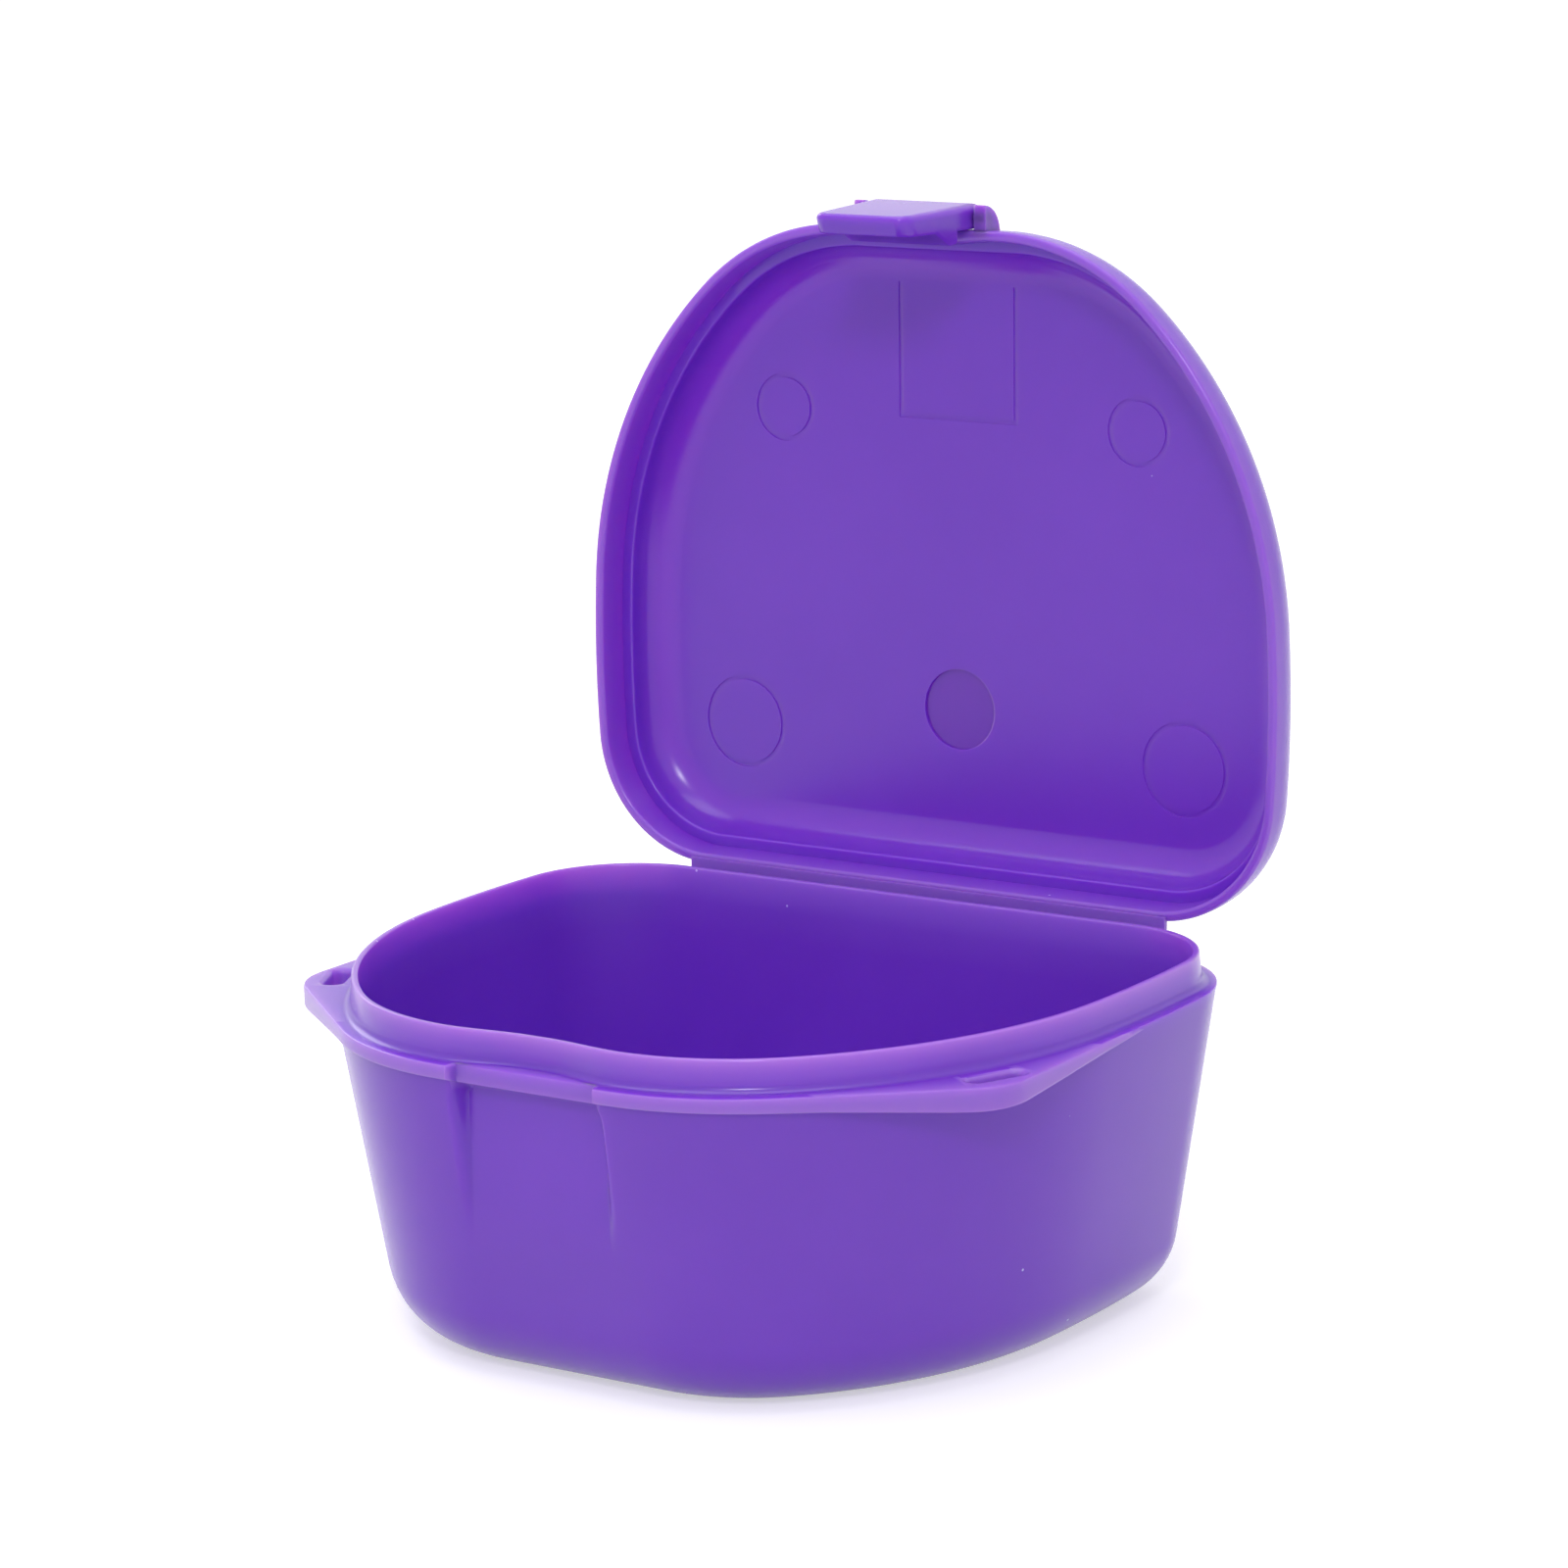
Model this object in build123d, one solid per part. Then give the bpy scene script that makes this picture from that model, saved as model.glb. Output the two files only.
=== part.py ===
from build123d import *
import math
import os

# Retainer case, millimetres. The table is z = 0, the front points along -Y and the hinge is at +Y.
# The origin is the middle of the lid's plan outline, on the table.

# Plan outline of the lid's rim. Every other outline is this one, moved in or out.
case_width = 80.0
rear_corner_radius = 13.3
rear_turn = 86.1
side_radius = 140.0
side_turn = 6.9
front_corner_radius = 24.1
front_turn = 42.7
front_flat_width = 18.0

# Tub
flange_height = 31.3
wall_top_outset = 0.2
wall_draft = 9.2
foot_fillet = 7.6
floor_thickness = 1.4
cavity_draft = 7.2
cavity_fillet = 6.2

# Flange with its two ears
flange_thickness = 1.45
flange_front_reach = 0.5
ear_outset = 0.3
ear_corner_radius = 7.0
ear_forward = 44.9
ear_thickness = 2.5
ear_root_forward = 19.0
ear_nose_forward = 61.0
ear_belly_radius = 40.0
slot_length = 7.2
slot_width = 3.0
slot_angle = 65.0
slot_edge_wall = 1.45
slot_setback = 1.0

# Collar that the lid fits over
collar_height = 3.1
collar_tip_thickness = 0.6
collar_clearance = 0.2
jog_depth = 1.7
jog_lead_turn = 6.2
jog_slope = 30.0
jog_reach_down = 12.0

# Latch seat in the front wall
seat_width = 16.0
seat_notch_depth = 1.1
catch_bar_height = 1.85
pocket_depth = 1.7
pocket_length = 15.0
pocket_corner_radius = 1.5

# Lid
rim_gap = 0.1
lid_height = 8.6
lid_draft = 1.5
lid_top_fillet = 7.4
panel_thickness = 1.4
skirt_thickness = 1.0
socket_depth = 3.3
socket_draft = 4.4
ledge_width = 1.2
ceiling_fillet = 3.7

# Marks of the mould on the lid's inner face, placed from the rear edge
mark_depth = 0.15
insert_width = 13.8
insert_rear = 46.6
disc_radius = 3.45
disc_side = 20.7
disc_rear = 46.8
ring_radius = 4.8
ring_line = 0.45
ring_side = 26.0
ring_rear = 13.8
gate_radius = 4.1
gate_rear = 17.4
gate_depth = 0.3

# Living hinge
lid_open_angle = 91.2
axis_behind = 1.98
axis_above = 0.74
strap_width = 56.0
strap_thickness = 0.5
strap_overrun = 1.0

# Latch and the lugs that hold it, as they stand with the lid closed
lug_radius = 2.85
lug_root = 0.4
lug_thickness = 1.2
lug_gap = 0.3
pivot_out = 1.15
pivot_above = 1.05
trunnion_radius = 0.55
trunnion_length = 1.1
trunnion_clearance = 0.06
latch_width = 12.2
latch_tip_width = 10.8
latch_tip_corner = 1.5
latch_length = 11.1
latch_thickness = 2.3
latch_skin_gap = 0.3
latch_swing = 110.0
latch_tip_rise = 0.9
tooth_reach = 1.3
tooth_height = 1.2
tooth_ramp = 2.3
tooth_gap = 0.15

# Sizes that follow from the ones above
half_width = case_width / 2
front_flat = front_flat_width / 2
shoulder_turn = 180.0 - rear_turn - side_turn - front_turn
rim_height = flange_height + rim_gap
collar_inset = skirt_thickness + collar_clearance


def arc_steps(start, end):
    """Sideways and forward steps of an arc of radius 1 between two headings in degrees."""
    a = math.radians(start)
    b = math.radians(end)
    return math.sin(b) - math.sin(a), math.cos(a) - math.cos(b)


def slope(angle):
    """Rise of a face that leans by an angle in degrees."""
    return math.tan(math.radians(angle))


shoulder_heading = rear_turn + side_turn
nose_heading = shoulder_heading + shoulder_turn
corner_x, corner_y = arc_steps(0, rear_turn)
widest_x = arc_steps(rear_turn, 90)[0]
side_x, side_y = arc_steps(rear_turn, shoulder_heading)
shoulder_x, shoulder_y = arc_steps(shoulder_heading, nose_heading)
nose_x, nose_y = arc_steps(nose_heading, 180)

rear_flat = half_width - rear_corner_radius * corner_x - side_radius * widest_x
shoulder_start = rear_flat + rear_corner_radius * corner_x + side_radius * side_x
shoulder_run = shoulder_start + front_corner_radius * nose_x - front_flat
shoulder_radius = -shoulder_run / shoulder_x
rear_part = rear_corner_radius * corner_y + side_radius * side_y
case_depth = rear_part + shoulder_radius * shoulder_y + front_corner_radius * nose_y
rear_y = case_depth / 2
front_y = -case_depth / 2

collar_top = flange_height + collar_height
flange_front = front_y - flange_front_reach
bar_face = flange_front + seat_notch_depth
bar_bottom = flange_height - catch_bar_height
pocket_face = bar_face + pocket_depth
hinge_y = rear_y + axis_behind
hinge_z = flange_height + axis_above
hinge_axis = Axis((0, hinge_y, hinge_z), (1, 0, 0))
pivot_y = front_y - pivot_out
pivot_z = rim_height + pivot_above


def outline(inset, jog=0.0):
    """Face inside the plan outline, moved in by inset.

    With a jog, the middle of the front steps back by that much between two S bends.
    """
    lead = jog_lead_turn if jog else 0.0
    nose_radius = front_corner_radius - inset
    rear = Line((0, rear_y - inset), (rear_flat, rear_y - inset))
    corner = JernArc(rear @ 1, rear % 1, rear_corner_radius - inset, -rear_turn)
    side = JernArc(corner @ 1, corner % 1, side_radius - inset, -side_turn)
    shoulder = JernArc(side @ 1, side % 1, shoulder_radius - inset, -shoulder_turn)
    nose = JernArc(shoulder @ 1, shoulder % 1, nose_radius, lead - front_turn)
    half = [rear, corner, side, shoulder, nose]
    if jog:
        lead_rise = 1 - math.cos(math.radians(lead))
        bend_rise = 1 - math.cos(math.radians(jog_slope))
        bend_radius = (jog - nose_radius * lead_rise) / (2 * bend_rise - lead_rise)
        bend_in = JernArc(nose @ 1, nose % 1, bend_radius, -lead - jog_slope)
        bend_out = JernArc(bend_in @ 1, bend_in % 1, bend_radius, jog_slope)
        half += [bend_in, bend_out]
    last = half[-1] @ 1
    half.append(Line(last, (0, last.Y)))
    edges = Curve() + half
    return make_face(edges + mirror(edges, Plane.YZ))


def drafted(inset, low_z, high_z, draft, jog=0.0):
    """Solid whose plan is inset at its low end, its sides leaning in by draft towards its high end."""
    height = high_z - low_z
    if draft < 0:
        return Pos(0, 0, low_z) * extrude(outline(inset, jog), height, taper=draft)
    top = outline(inset + height * slope(draft), jog)
    return Pos(0, 0, high_z) * mirror(extrude(top, height, taper=-draft), Plane.XY)


def edges_at(shape, z):
    """Edges of a shape that lie flat at height z."""
    return shape.edges().filter_by_position(Axis.Z, z - 0.01, z + 0.01)


def block(x_size, y_low, y_high, z_low, z_high):
    """Box centred on x between two depths and two heights."""
    box = Box(x_size, y_high - y_low, z_high - z_low)
    return Pos(0, (y_low + y_high) / 2, (z_low + z_high) / 2) * box


def both_sides(shape):
    """A shape and its mirror image across the middle of the case."""
    return shape + mirror(shape, Plane.YZ)


def side_profile(points, width):
    """Solid bar along x, centred, whose side view is a polygon of depth and height points."""
    face = make_face(Polyline(*[(0, y, z) for y, z in points], close=True))
    return extrude(face, width / 2, dir=(1, 0, 0), both=True)


def tub_wall():
    """Drafted outer wall of the tub up to the flange, still full."""
    foot_inset = flange_height * slope(wall_draft) - wall_top_outset
    wall = drafted(foot_inset, 0, flange_height, -wall_draft)
    return fillet(edges_at(wall, 0), foot_fillet)


def ear_centre():
    """Centre of the right ear's round corner."""
    return half_width + ear_outset - ear_corner_radius, rear_y - ear_forward


def flange_plan():
    """Plan of the flange: a line drawn tight around the wall, the ears and the front lip."""
    ear_x, ear_y = ear_centre()
    ear = Pos(ear_x, ear_y) * Circle(ear_corner_radius)
    lip_radius = front_corner_radius + flange_front_reach
    lip = Pos(front_flat, front_y + front_corner_radius) * Circle(lip_radius)
    wall = outline(-wall_top_outset)
    edges = wall.edges() + both_sides(ear).edges() + both_sides(lip).edges()
    return make_hull(edges)


def ear_belly():
    """Space under the flange: shallow at the front lip, deep at the ears, closed behind them."""
    lip_z = flange_height - flange_thickness
    ear_z = flange_height - ear_thickness
    deep_y = rear_y - ear_forward - ear_corner_radius / 4
    far = case_depth
    line = FilletPolyline(
        (0, -far, lip_z),
        (0, rear_y - ear_nose_forward, lip_z),
        (0, deep_y, ear_z),
        (0, rear_y - ear_root_forward, flange_height),
        radius=ear_belly_radius,
    )
    under = Polyline(line @ 1, (0, rear_y - ear_root_forward, 0), (0, -far, 0), line @ 0)
    face = make_face(line + under)
    behind = block(4 * case_width, rear_y - ear_root_forward, far, 0, flange_height)
    return extrude(face, 2 * case_width, dir=(1, 0, 0), both=True) + behind


def flange():
    """Flange plate with its ears, and the lanyard slots through them."""
    plate = Pos(0, 0, flange_height - ear_thickness) * extrude(flange_plan(), ear_thickness)
    return plate - ear_belly()


def lanyard_slots():
    """Cutters for the slots through both ears."""
    ear_x, ear_y = ear_centre()
    along = Vector(1, 0).rotate(Axis.Z, slot_angle)
    outward = along.rotate(Axis.Z, -90)
    reach = ear_corner_radius - slot_edge_wall - slot_width / 2
    place = Vector(ear_x, ear_y) + outward * reach + along * slot_setback
    slot = Rot(0, 0, slot_angle) * SlotOverall(slot_length, slot_width)
    depth = 2 * ear_thickness
    cutter = Pos(place.X, place.Y, flange_height - depth) * extrude(slot, 2 * depth)
    return both_sides(cutter)


def collar():
    """Thin collar, still full inside, with the step back behind the latch."""
    return drafted(collar_inset, flange_height, collar_top, socket_draft, jog_depth)


def tub_cavity():
    """Space inside the tub, with one straight draft from the floor to the collar's tip."""
    tip_inset = collar_inset + collar_height * slope(socket_draft) + collar_tip_thickness
    foot_inset = tip_inset + (collar_top - floor_thickness) * slope(cavity_draft)
    space = drafted(foot_inset, floor_thickness, collar_top, -cavity_draft)
    space = fillet(edges_at(space, floor_thickness), cavity_fillet)
    step = outline(tip_inset) - outline(tip_inset, jog_depth)
    step_bottom = flange_height - jog_reach_down
    return space - Pos(0, 0, step_bottom) * extrude(step, collar_top - step_bottom)


def latch_seat():
    """Notch in the flange and the pocket below the catch bar."""
    far = flange_front - pocket_length
    notch = block(seat_width, far, bar_face, bar_bottom, flange_height + collar_height)
    pocket = block(seat_width, far, pocket_face, flange_height - pocket_length, bar_bottom)
    corners = pocket.edges().filter_by(Axis.Y).group_by(Axis.Z)[-1]
    pocket = fillet(corners, pocket_corner_radius)
    return notch + pocket


def base_tub():
    """Tub, flange, collar and latch seat: one moulding."""
    body = tub_wall() + flange() - latch_seat()
    body = body + collar() - tub_cavity()
    return body - lanyard_slots()


def lid_room():
    """Space inside the lid: the socket for the collar and the deeper room above its ledge."""
    rim_inset = skirt_thickness
    socket_inset = rim_inset + socket_depth * slope(socket_draft)
    room_inset = socket_inset + ledge_width
    ceiling = lid_height - panel_thickness
    socket = drafted(rim_inset, 0, socket_depth, socket_draft, jog_depth)
    room = drafted(room_inset, socket_depth, ceiling, lid_draft)
    room = fillet(edges_at(room, ceiling), ceiling_fillet)
    return socket, room


def mould_marks(room):
    """Shallow marks on the lid's ceiling: an insert, two discs, two rings and the gate."""
    ceiling = lid_height - panel_thickness
    far = case_depth
    insert = block(insert_width, -far, rear_y - insert_rear, socket_depth + ledge_width, lid_height)
    insert = insert & (Pos(0, -mark_depth / 2, mark_depth) * room)
    disc = Pos(disc_side, rear_y - disc_rear, ceiling) * Cylinder(disc_radius, 2 * mark_depth)
    ring = Cylinder(ring_radius, 2 * mark_depth) - Cylinder(ring_radius - ring_line, 2 * mark_depth)
    ring = Pos(ring_side, rear_y - ring_rear, ceiling) * ring
    gate = Pos(0, rear_y - gate_rear, ceiling) * Cylinder(gate_radius, 2 * gate_depth)
    return insert + both_sides(disc) + both_sides(ring) + gate


def lug():
    """Right ear of the lid that holds one end of the latch, with its blind bearing hole."""
    inner_x = latch_width / 2 + lug_gap
    centre_y = front_y + lug_root
    disc = Rot(0, 90, 0) * Cylinder(lug_radius, lug_thickness)
    disc = Pos(inner_x + lug_thickness / 2, centre_y, 0) * disc
    skirt_y = front_y + 0.9 * skirt_thickness
    quarter = disc & block(case_width, centre_y - lug_radius, skirt_y, 0, lug_radius)
    hole_depth = trunnion_length - lug_gap + trunnion_clearance
    hole = Rot(0, 90, 0) * Cylinder(trunnion_radius + trunnion_clearance, 2 * hole_depth)
    return quarter - Pos(inner_x, pivot_y, pivot_above) * hole


def lid_shell():
    """Lid as it stands when closed: panel, skirt with its socket, mould marks and lugs."""
    shell = drafted(0, 0, lid_height, lid_draft)
    shell = fillet(edges_at(shell, lid_height), lid_top_fillet)
    socket, room = lid_room()
    shell = shell + both_sides(lug())
    shell = shell - socket - room - mould_marks(room)
    return Pos(0, 0, rim_height) * shell


def latch_side():
    """Side view of the latch: heel, plate and the hooked tooth that snaps under the catch bar."""
    heel_radius = pivot_out - latch_skin_gap
    inner_y = pivot_y + heel_radius
    outer_y = inner_y - latch_thickness
    tip_z = rim_height - latch_length
    swing = math.radians(latch_swing)
    shoulder_y = pivot_y + heel_radius * math.cos(swing)
    shoulder_z = pivot_z + heel_radius * math.sin(swing)
    outer_z = shoulder_z - (shoulder_y - outer_y) * slope(latch_swing - 90)
    hook_z = bar_bottom - tooth_gap
    plate = side_profile([
        (inner_y, pivot_z),
        (pivot_y, pivot_z),
        (shoulder_y, shoulder_z),
        (outer_y, outer_z),
        (outer_y, tip_z),
        (inner_y, tip_z + latch_tip_rise),
        (inner_y, hook_z - tooth_height - tooth_ramp),
        (inner_y + tooth_reach, hook_z - tooth_height),
        (inner_y + tooth_reach, hook_z),
        (inner_y, hook_z),
    ], latch_width)
    heel = Rot(0, 90, 0) * Cylinder(heel_radius, latch_width)
    return plate + Pos(0, pivot_y, pivot_z) * heel


def latch_front():
    """Bar with the latch's front view: parallel at the heel, narrower towards a round tip."""
    tip_z = rim_height - latch_length
    top_z = pivot_z + pivot_out
    wide = latch_width / 2
    narrow = latch_tip_width / 2
    face = make_face(Polyline(
        (wide, 0, top_z),
        (-wide, 0, top_z),
        (-wide, 0, rim_height),
        (-narrow, 0, tip_z),
        (narrow, 0, tip_z),
        (wide, 0, rim_height),
        close=True,
    ))
    bar = extrude(face, case_depth, dir=(0, 1, 0), both=True)
    tip_corners = bar.edges().filter_by(Axis.Y).group_by(Axis.Z)[0]
    return fillet(tip_corners, latch_tip_corner)


def latch():
    """Latch as it stands when closed, with a trunnion at each end of its heel."""
    body = latch_side() & latch_front()
    trunnion = Rot(0, 90, 0) * Cylinder(trunnion_radius, latch_width + 2 * trunnion_length)
    return body + Pos(0, pivot_y, pivot_z) * trunnion


def opened(shape):
    """A shape of the closed lid, swung up to where the photograph shows it."""
    return shape.rotate(hinge_axis, -lid_open_angle)


def hinge_strap(tub, lid):
    """Thin web from the tub's rear face up to the lid's, cut where it meets them."""
    rear_rim = opened(Vertex(0, rear_y, rim_height)).center()
    root_y = rear_y + wall_top_outset
    reach_y = rear_rim.Y - root_y
    reach_z = rear_rim.Z - flange_height
    bend = Ellipse(reach_y + strap_thickness, reach_z + strap_thickness)
    bend = bend - Ellipse(reach_y, reach_z)
    bend = Pos(0, root_y, rear_rim.Z) * (Plane.YZ * bend)
    bend = extrude(bend, strap_width / 2, dir=(1, 0, 0), both=True)
    far = case_depth
    bend = bend & block(strap_width, root_y, far, 0, rear_rim.Z)
    root = block(strap_width, root_y - strap_overrun, root_y, flange_height - strap_thickness, flange_height)
    end_y = rear_y - strap_overrun
    end = opened(block(strap_width, end_y, rear_y, rim_height, rim_height + strap_thickness))
    return bend + root + end - tub - lid


tub = base_tub()
lid = opened(lid_shell())
parts = {
    "base_tub": tub,
    "hinge_strap": hinge_strap(tub, lid),
    "lid_shell": lid,
    "latch": opened(latch()),
}

os.makedirs("parts", exist_ok=True)
for name, shape in parts.items():
    export_step(shape, f"parts/{name}.step")
    box = shape.bounding_box()
    print(name, "solids", len(shape.solids()), "valid", shape.is_valid, "volume", round(shape.volume))
    print("   from", box.min, "to", box.max)
print("case depth", round(case_depth, 2), "shoulder radius", round(shoulder_radius, 2))
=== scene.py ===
import math

import bmesh
import bpy
from mathutils import Matrix, Vector, geometry


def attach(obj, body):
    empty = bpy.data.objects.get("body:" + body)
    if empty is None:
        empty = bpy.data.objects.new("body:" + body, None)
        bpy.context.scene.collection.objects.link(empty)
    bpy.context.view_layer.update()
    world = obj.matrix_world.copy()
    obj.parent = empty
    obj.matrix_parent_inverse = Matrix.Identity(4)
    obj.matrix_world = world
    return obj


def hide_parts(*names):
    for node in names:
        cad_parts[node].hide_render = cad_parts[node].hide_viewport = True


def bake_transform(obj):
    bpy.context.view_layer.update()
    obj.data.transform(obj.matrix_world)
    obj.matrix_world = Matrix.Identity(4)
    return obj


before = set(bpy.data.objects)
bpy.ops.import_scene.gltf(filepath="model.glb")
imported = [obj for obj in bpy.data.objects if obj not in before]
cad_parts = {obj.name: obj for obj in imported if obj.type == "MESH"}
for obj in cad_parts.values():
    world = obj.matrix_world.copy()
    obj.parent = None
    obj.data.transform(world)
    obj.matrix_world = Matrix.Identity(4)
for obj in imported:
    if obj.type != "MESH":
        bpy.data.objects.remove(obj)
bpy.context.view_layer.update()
mm = 0.001
tiny = 1e-4  # mm or radians, closer values count as one
print("stage: frame loaded,", len(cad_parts), "nodes")

# plan outline of the lid's rim, from the rear middle round to the front middle
outline = dict(
    width=80.0,
    rearRadius=13.3,
    rearTurn=86.1,
    sideRadius=140.0,
    sideTurn=6.9,
    frontRadius=24.1,
    frontTurn=42.7,
    frontFlat=9.0,  # half of the straight at the front
    steps=(22, 26, 16, 60, 40, 60),  # how finely each leg is cut, finest behind the latch
)


def outlineLegs(o):  # two straights and four arcs of the right half
    steps = o["steps"]
    turns = [o["rearTurn"], o["sideTurn"], 0.0, o["frontTurn"]]
    turns[2] = 180 - sum(turns)
    heading = [math.radians(sum(turns[:i])) for i in range(5)]
    sin = [math.sin(h) for h in heading]
    cos = [math.cos(h) for h in heading]
    radius = [o["rearRadius"], o["sideRadius"], 0.0, o["frontRadius"]]
    flat = o["width"] / 2 - radius[0] * sin[1] - radius[1] * (1 - sin[1])
    run = flat + radius[0] * sin[1] + radius[1] * (sin[2] - sin[1]) - radius[3] * sin[3]
    radius[2] = (run - o["frontFlat"]) / (sin[2] - sin[3])
    depth = sum(r * (cos[i] - cos[i + 1]) for i, r in enumerate(radius))
    legs = [dict(shift=Vector((flat, 0, 0)), steps=steps[0])]
    centre = Vector((flat, depth / 2 - radius[0], 0))
    for i in range(4):
        if i:
            centre += Vector((sin[i], cos[i], 0)) * (radius[i - 1] - radius[i])
        legs.append(dict(
            centre=centre.copy(), radius=radius[i], start=heading[i], end=heading[i + 1], steps=steps[i + 1],
        ))
    legs.append(dict(shift=Vector((-o["frontFlat"], 0, 0)), steps=steps[5]))
    return legs, depth / 2, flat


legs, rearY, rearFlat = outlineLegs(outline)
frontY = -rearY


def outlineAt(x, y):  # distance outside the outline, and the direction outwards
    side = -1 if x < 0 else 1
    x = abs(x)
    if y > 0 and x < rearFlat:
        return y - rearY, Vector((0, 1, 0))
    if y < 0 and x < outline["frontFlat"]:
        return frontY - y, Vector((0, -1, 0))
    for leg in legs[1:5]:
        out = Vector((x, y, 0)) - leg["centre"]
        heading = math.atan2(out.x, out.y)
        if leg["start"] - tiny <= heading <= leg["end"] + tiny:
            away = out.normalized()
            return out.length - leg["radius"], Vector((away.x * side, away.y, 0))
    return 0.0, Vector((0, -1, 0))


def sweepOutline(profile):  # the profile's (out, height) points carried round the whole outline
    bm = bmesh.new()
    ring = bm.verts.layers.int.new("ring")
    verts = [bm.verts.new((0, rearY + out, z)) for out, z in profile]
    for i, v in enumerate(verts):
        v[ring] = i + 1
    moved = verts + [bm.edges.new(pair) for pair in zip(verts, verts[1:])]
    for leg in legs:
        turned = dict(cent=(0, 0, 0), axis=(0, 0, 1), dvec=(0, 0, 0), angle=0.0)
        if "shift" in leg:
            turned["dvec"] = leg["shift"] / leg["steps"]
        else:
            turned["cent"] = leg["centre"]
            turned["angle"] = leg["start"] - leg["end"]
        swept = bmesh.ops.spin(bm, geom=moved, steps=leg["steps"], use_merge=False, **turned)
        moved = [g for g in swept["geom_last"] if not isinstance(g, bmesh.types.BMFace)]
    for v in bm.verts:
        if abs(v.co.x) < tiny:
            v.co.x = 0.0
    bmesh.ops.mirror(bm, geom=bm.verts[:] + bm.edges[:] + bm.faces[:], merge_dist=tiny, axis="X")
    bmesh.ops.remove_doubles(bm, verts=bm.verts[:], dist=tiny)
    bmesh.ops.recalc_face_normals(bm, faces=bm.faces[:])
    return bm, ring


def roundRing(bm, ring, profile, number, radius, segments):  # rounds one corner of the profile
    before, corner, after = (Vector(profile[i - 1]) for i in (number - 1, number, number + 1))
    turn = (corner - before).angle(after - corner)
    edges = [e for e in bm.edges if all(v[ring] == number for v in e.verts)]
    edges = [e for e in edges if e.calc_face_angle(0) > turn / 2]  # not those that an earlier rounding made
    bmesh.ops.bevel(
        bm, geom=edges, offset=radius * math.tan(turn / 2), offset_type="OFFSET",
        segments=segments, profile=0.5, affect="EDGES", material=-1,
    )


def closeEnds(bm):
    bmesh.ops.holes_fill(bm, edges=[e for e in bm.edges if e.is_boundary], sides=0)
    bmesh.ops.recalc_face_normals(bm, faces=bm.faces[:])


def makeObject(name, bm, material=None):  # from millimetres to metres
    bmesh.ops.scale(bm, vec=(mm, mm, mm), verts=bm.verts[:])
    mesh = bpy.data.meshes.new(name)
    bm.to_mesh(mesh)
    bm.free()
    piece = bpy.data.objects.new(name, mesh)
    bpy.context.scene.collection.objects.link(piece)
    if material is not None:
        mesh.materials.append(material)
    return piece


def cutOut(piece, tool):  # boolean, applied at once
    change = piece.modifiers.new("change", "BOOLEAN")
    change.operation = "DIFFERENCE"
    change.solver = "EXACT"
    change.object = tool
    bpy.context.view_layer.update()
    result = bpy.data.meshes.new_from_object(piece.evaluated_get(bpy.context.evaluated_depsgraph_get()))
    piece.modifiers.clear()
    old = piece.data
    piece.data = result
    bpy.data.meshes.remove(old)
    bpy.data.objects.remove(tool)


def joinInto(piece, other):  # two shells that overlap, in one piece
    bm = bmesh.new()
    bm.from_mesh(piece.data)
    bm.from_mesh(other.data)
    bm.to_mesh(piece.data)
    bm.free()
    bpy.data.objects.remove(other)


def boxTool(low, high):
    bm = bmesh.new()
    bmesh.ops.create_cube(bm, size=1.0)
    low, high = Vector(low), Vector(high)
    bmesh.ops.scale(bm, vec=high - low, verts=bm.verts[:])
    bmesh.ops.translate(bm, vec=(low + high) / 2, verts=bm.verts[:])
    return makeObject("tool", bm)


def bevelSharp(bm, wanted, offset, segments, sharpness=30):  # rounds the sharp edges that are wanted
    limit = math.radians(sharpness)
    edges = [e for e in bm.edges if e.calc_face_angle(0) > limit]
    edges = [e for e in edges if wanted(*(p.co for p in e.verts))]
    bmesh.ops.bevel(
        bm, geom=edges, offset=offset, segments=segments, profile=0.5, affect="EDGES", material=-1,
    )


def smoothPiece(piece, angle=32):
    piece.data.shade_smooth()
    piece.data.set_sharp_from_angle(angle=math.radians(angle))
    weighted = piece.modifiers.new("weighted", "WEIGHTED_NORMAL")
    weighted.keep_sharp = True
    weighted.weight = 60


def paintGlow(piece, shareAt):  # share of painted glow and sheen at each point, read by the material as a lighter colour
    layer = piece.data.attributes.new("paintedGlow", "FLOAT", "POINT")
    for v, entry in zip(piece.data.vertices, layer.data):
        entry.value = shareAt(v.co / mm)


def slope(degrees):
    return math.tan(math.radians(degrees))


# materials

def linearColor(hexText):
    values = [int(hexText[i:i + 2], 16) / 255 for i in (0, 2, 4)]
    return [v / 12.92 if v <= 0.04045 else ((v + 0.055) / 1.055) ** 2.4 for v in values] + [1.0]


def addNode(tree, kind, links=None, **settings):
    node = tree.nodes.new(kind)
    for key, value in settings.items():
        if key.startswith("in_"):
            node.inputs[int(key[3:])].default_value = value
        else:
            setattr(node, key, value)
    for socket, source in (links or {}).items():
        tree.links.new(source, node.inputs[socket])
    return node


plastic = dict(
    body="702FC2",  # the colour in the depth of the plastic
    haze="7A3ACA",  # faint flow clouding
    hazeScale=60.0,
    hazeDetail=7.0,
    dust="BFA6EA",
    dustGap=4.5,  # mm between places where a speck may sit
    dustFull=0.022,  # a speck is full inside this and gone outside the next, as shares of the gap
    dustGone=0.034,
    dustFree=0.62,  # share of the places that stay clean
    edge="9468CE",  # painted glow and sheen: the lighter colour that thin edges and rounded rims are drawn in
    scatter=0.003,
    scatterWeight=0.85,
    scatterRadius=(1.4, 0.8, 1.0),
    smoothest=0.205,  # range of the roughness
    roughest=0.255,
    grain=0.35,  # mm, the eroded mould face, drawn coarser than it is so that it shows
    grainHeight=0.02,  # mm
    grainStrength=0.06,
    refraction=1.49,
)


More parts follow.
